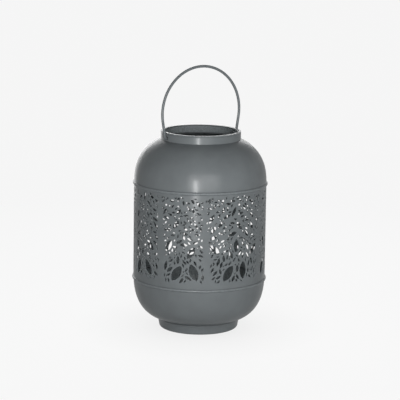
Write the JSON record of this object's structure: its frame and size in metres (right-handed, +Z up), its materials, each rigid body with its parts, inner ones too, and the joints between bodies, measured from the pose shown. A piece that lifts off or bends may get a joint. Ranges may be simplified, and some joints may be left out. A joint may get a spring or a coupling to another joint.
{
  "type": "lantern",
  "caption": "Round free-standing candle lantern of painted sheet metal: bowl on a foot ring, leaf-pierced band, domed shoulder, open neck with a turned-in rim and a swinging wire bail.",
  "frame": {"origin": "on the ground, in the middle of the foot ring", "axes": "+Z up; X along the bail's two pivots"},
  "size_m": [0.161, 0.161, 0.3163],
  "materials": {
    "grey_paint": "satin powder coat",
    "grey_wire": "satin powder coat",
    "foil": "drawn foil",
    "wax": "smooth paraffin",
    "wick": "braided cotton",
    "tin": "tinned"
  },
  "bodies": {
    "lantern_body": {"foot_ring": "grey_paint", "base_bowl": "grey_paint", "pierced_band": "grey_paint", "shoulder_dome": "grey_paint", "neck_collar": "grey_paint"},
    "bail": {"bail_handle": "grey_wire"},
    "tealight": {"tealight_cup": "foil", "tealight_wax": "wax", "tealight_wick": "wick", "wick_sustainer": "tin"}
  },
  "joints": [
    {"name": "bail_swing", "type": "hinge", "parent": "lantern_body", "child": "bail", "pos_m": [0, 0, 0.232], "axis": [1, 0, 0], "range_deg": [-107, 107]},
    {"name": "tealight_lift", "type": "slide", "parent": "lantern_body", "child": "tealight", "axis": [0, 0, 1], "range_m": [0, 0.24]}
  ]
}
